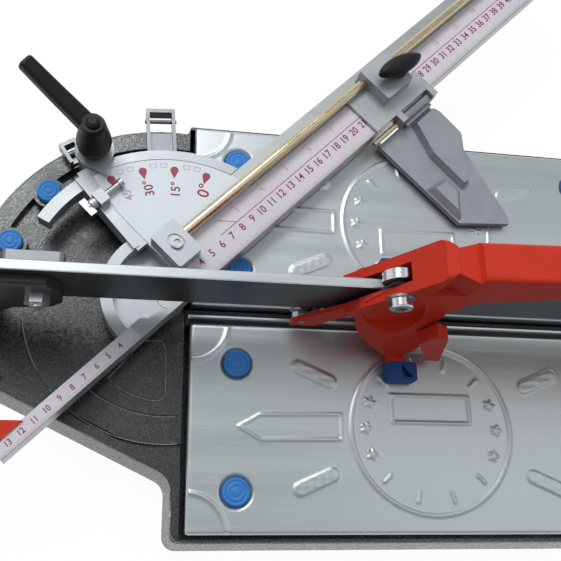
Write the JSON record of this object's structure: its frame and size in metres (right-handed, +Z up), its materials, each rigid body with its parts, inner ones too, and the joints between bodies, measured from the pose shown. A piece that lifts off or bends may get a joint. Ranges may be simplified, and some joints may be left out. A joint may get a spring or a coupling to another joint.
{
  "type": "tile cutter",
  "caption": "Manual tile cutter: cast base with sprung aluminium tables, flat rail with tilting scoring and breaking handle, swivel fence with scales and a lateral stop.",
  "frame": {"origin": "on the floor, under the foot below the zero of the scales on the cutting line", "axes": "+X along the rail away from the fence, +Y towards the far table and the long scale, +Z up"},
  "size_m": [0.8994, 0.5084, 0.1953],
  "materials": {
    "base_paint": "hammered",
    "foot_rubber": "matte",
    "beam_black": "satin",
    "ridge_steel": "brushed",
    "pad_blue": "matte",
    "upright_dark": "satin",
    "rail_aluminium": "anodised",
    "zinc": "satin",
    "chrome": "polished",
    "table_aluminium": "brushed",
    "spring_steel": "satin",
    "fence_aluminium": "cast satin",
    "label_white": "satin",
    "rod_yellow": "yellow passivated",
    "red_paint": "satin",
    "black_plastic": "matte",
    "grip_rubber": "matte",
    "carbide": "ground"
  },
  "bodies": {
    "base": {"base_casting": "base_paint", "rubber_feet": "foot_rubber", "centre_beam": "beam_black", "breaking_ridge": "ridge_steel", "head_pads": "pad_blue", "front_upright": "upright_dark", "rear_upright": "upright_dark", "rail": "rail_aluminium", "rail_clamp_plate": "fence_aluminium", "rail_bolts": "zinc", "rail_nuts": "zinc", "upright_screws": "zinc", "side_stirrups": "zinc", "stirrup_pins": "zinc", "clamp_block": "fence_aluminium", "clamp_stud": "zinc", "fence_pivot_bolt": "zinc", "near_springs": "spring_steel", "far_springs": "spring_steel"},
    "near_table": {"near_table": "table_aluminium", "near_table_pads": "pad_blue", "near_guide_pins": "zinc"},
    "far_table": {"far_table": "table_aluminium", "far_table_pads": "pad_blue", "far_guide_pins": "zinc"},
    "fence": {"fence_casting": "fence_aluminium", "long_bar": "fence_aluminium", "short_bar": "fence_aluminium", "sector_label": "label_white", "long_scale": "label_white", "short_scale": "label_white", "guide_rod": "rod_yellow", "inner_rod_block": "fence_aluminium", "outer_rod_block": "fence_aluminium", "rod_block_screws": "zinc", "short_bar_end_plate": "red_paint", "fence_set_screw": "zinc"},
    "stop": {"stop_slider": "fence_aluminium", "stop_hinge_pin": "rod_yellow"},
    "stop_arm": {"stop_arm": "fence_aluminium"},
    "stop_knob": {"stop_knob": "black_plastic", "stop_knob_screw": "zinc"},
    "clamp_lever": {"clamp_lever": "black_plastic", "clamp_lever_cap": "black_plastic"},
    "carriage": {"carriage_plates": "upright_dark", "roller_axles": "zinc"},
    "top_roller": {"top_roller": "chrome"},
    "lower_roller_front": {"lower_roller_front": "chrome"},
    "lower_roller_rear": {"lower_roller_rear": "chrome"},
    "handle": {"handle": "red_paint", "handle_grip": "grip_rubber", "handle_pivot_bolt": "chrome", "pivot_washer": "zinc", "wheel_holder": "zinc", "wheel_axle": "zinc"},
    "scoring_wheel": {"scoring_wheel": "carbide"},
    "breaker": {"breaker_foot": "red_paint", "breaker_pads": "pad_blue", "breaker_pins": "zinc"}
  },
  "joints": [
    {"name": "near_table_press", "type": "slide", "parent": "base", "child": "near_table", "axis": [0, 0, 1], "range_m": [-0.005, 0], "stiffness_N_per_m": 12000, "springref_m": 0.002, "deforming": ["near_springs"]},
    {"name": "far_table_press", "type": "slide", "parent": "base", "child": "far_table", "axis": [0, 0, 1], "range_m": [-0.005, 0], "stiffness_N_per_m": 12000, "springref_m": 0.002, "deforming": ["far_springs"]},
    {"name": "fence_swivel", "type": "hinge", "parent": "base", "child": "fence", "pos_m": [0.005, 0.01, 0.056], "axis": [0, 0, 1], "range_deg": [0, 45]},
    {"name": "clamp_turn", "type": "hinge", "parent": "base", "child": "clamp_lever", "pos_m": [-0.05091, 0.11004, 0.086], "axis": [0, 0, 1], "range_deg": [-40, 50]},
    {"name": "stop_slide", "type": "slide", "parent": "fence", "child": "stop", "axis": [0.7071, 0.7071, 0], "range_m": [-0.038, 0.17]},
    {"name": "stop_arm_flip", "type": "hinge", "parent": "stop", "child": "stop_arm", "pos_m": [0.19132, 0.17299, 0.0595], "axis": [-0.7071, -0.7071, 0], "range_deg": [0, 100]},
    {"name": "stop_knob_turn", "type": "hinge", "parent": "stop", "child": "stop_knob", "pos_m": [0.17117, 0.19173, 0.086], "axis": [0, 0, 1], "range_deg": [-90, 90]},
    {"name": "carriage_slide", "type": "slide", "parent": "base", "child": "carriage", "axis": [1, 0, 0], "range_m": [-0.058, 0.513]},
    {"name": "top_roller_spin", "type": "hinge", "parent": "carriage", "child": "top_roller", "pos_m": [0.142, 0, 0.1373], "axis": [0, 1, 0], "continuous": true},
    {"name": "lower_roller_front_spin", "type": "hinge", "parent": "carriage", "child": "lower_roller_front", "pos_m": [0.127, 0, 0.0727], "axis": [0, 1, 0], "continuous": true},
    {"name": "lower_roller_rear_spin", "type": "hinge", "parent": "carriage", "child": "lower_roller_rear", "pos_m": [0.157, 0, 0.0727], "axis": [0, 1, 0], "continuous": true},
    {"name": "handle_tilt", "type": "hinge", "parent": "carriage", "child": "handle", "pos_m": [0.142, 0, 0.1373], "axis": [0, 1, 0], "range_deg": [-10, 0]},
    {"name": "scoring_wheel_spin", "type": "hinge", "parent": "handle", "child": "scoring_wheel", "pos_m": [0.095, 0, 0.066], "axis": [0, 1, 0], "continuous": true},
    {"name": "breaker_rock", "type": "hinge", "parent": "handle", "child": "breaker", "pos_m": [0.164, 0, 0.075], "axis": [0, 1, 0], "range_deg": [-4, 4]}
  ],
  "couplings": [
    {"joint": "top_roller_spin", "follows": "carriage_slide", "rad_per_m": 90.909},
    {"joint": "lower_roller_front_spin", "follows": "carriage_slide", "rad_per_m": -142.86},
    {"joint": "lower_roller_rear_spin", "follows": "carriage_slide", "rad_per_m": -142.86}
  ]
}
